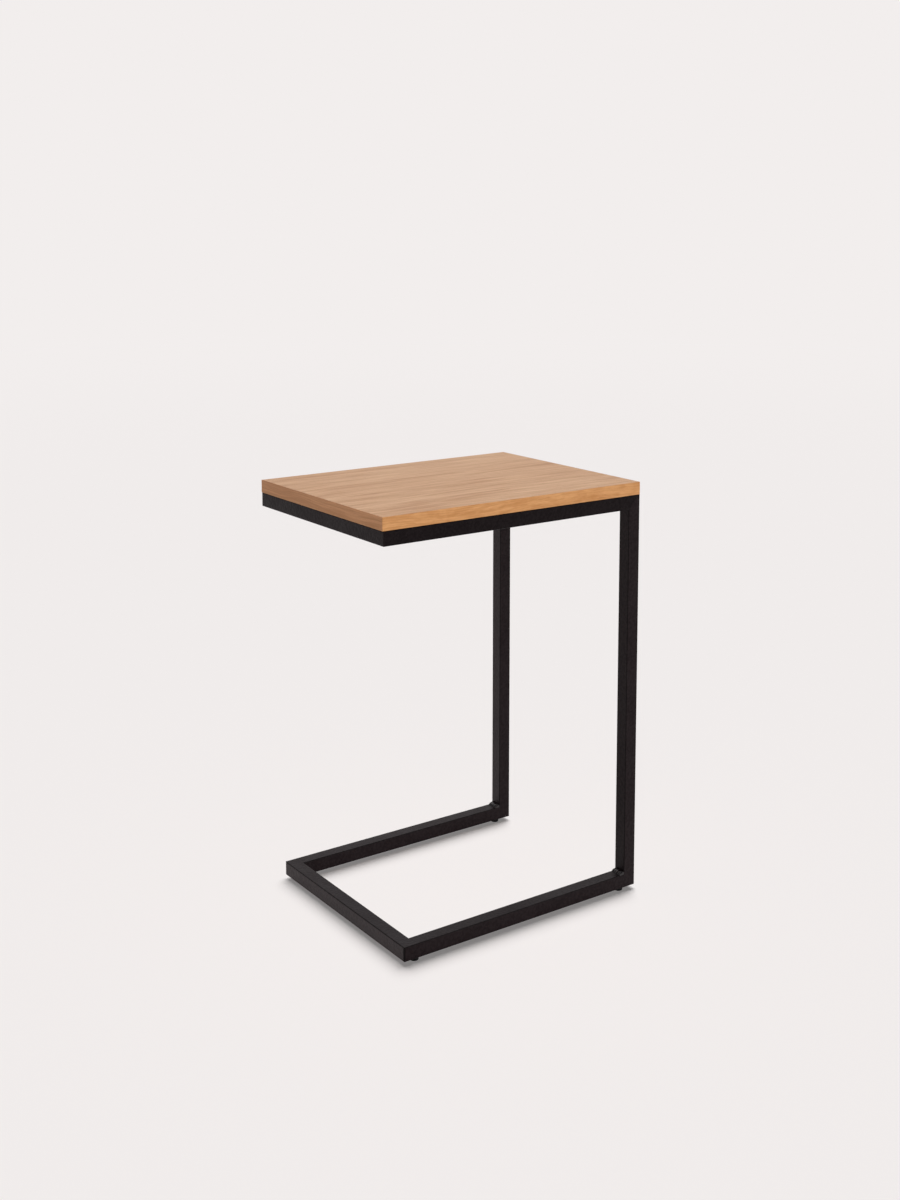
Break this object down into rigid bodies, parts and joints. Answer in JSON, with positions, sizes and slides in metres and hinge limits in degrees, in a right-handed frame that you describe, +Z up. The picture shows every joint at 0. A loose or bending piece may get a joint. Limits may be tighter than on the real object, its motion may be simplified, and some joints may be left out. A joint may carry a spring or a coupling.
{
  "type": "c shaped side table",
  "caption": "C shaped side table: oak veneered board on a black square tube frame, with an open floor frame that slides under a seat.",
  "frame": {"origin": "on the floor, under the middle of the top", "axes": "+X from the open end that slides under a seat to the two uprights, +Y to the left side, +Z up"},
  "size_m": [0.43, 0.32, 0.6],
  "materials": {
    "oak_face": "satin lacquered oak veneer",
    "oak_edge": "satin oak edge band",
    "oak_backing": "plain oak backing veneer",
    "board_core": "raw chipboard",
    "black_powder_coat": "satin black powder coat",
    "black_weld": "satin black powder coat over a weld",
    "zinc_screw": "zinc plated",
    "foot_plastic": "matte black"
  },
  "bodies": {
    "root": {"base_crossbar": "black_powder_coat", "base_rail_left": "black_powder_coat", "base_rail_right": "black_powder_coat", "corner_plate_front_left": "black_powder_coat", "corner_plate_front_right": "black_powder_coat", "corner_plate_rear_left": "black_powder_coat", "corner_plate_rear_right": "black_powder_coat", "corner_weld_left": "black_weld", "corner_weld_right": "black_weld", "edge_band_front": "oak_edge", "edge_band_left": "oak_edge", "edge_band_rear": "oak_edge", "edge_band_right": "oak_edge", "foot_front_left": "foot_plastic", "foot_front_right": "foot_plastic", "foot_rear_left": "foot_plastic", "foot_rear_right": "foot_plastic", "tabletop_backing_veneer": "oak_backing", "tabletop_core": "board_core", "tabletop_face_veneer": "oak_face", "tabletop_screws": "zinc_screw", "top_crossbar_front": "black_powder_coat", "top_crossbar_rear": "black_powder_coat", "top_rail_left": "black_powder_coat", "top_rail_right": "black_powder_coat", "upright_left": "black_powder_coat", "upright_right": "black_powder_coat"}
  },
  "joints": []
}
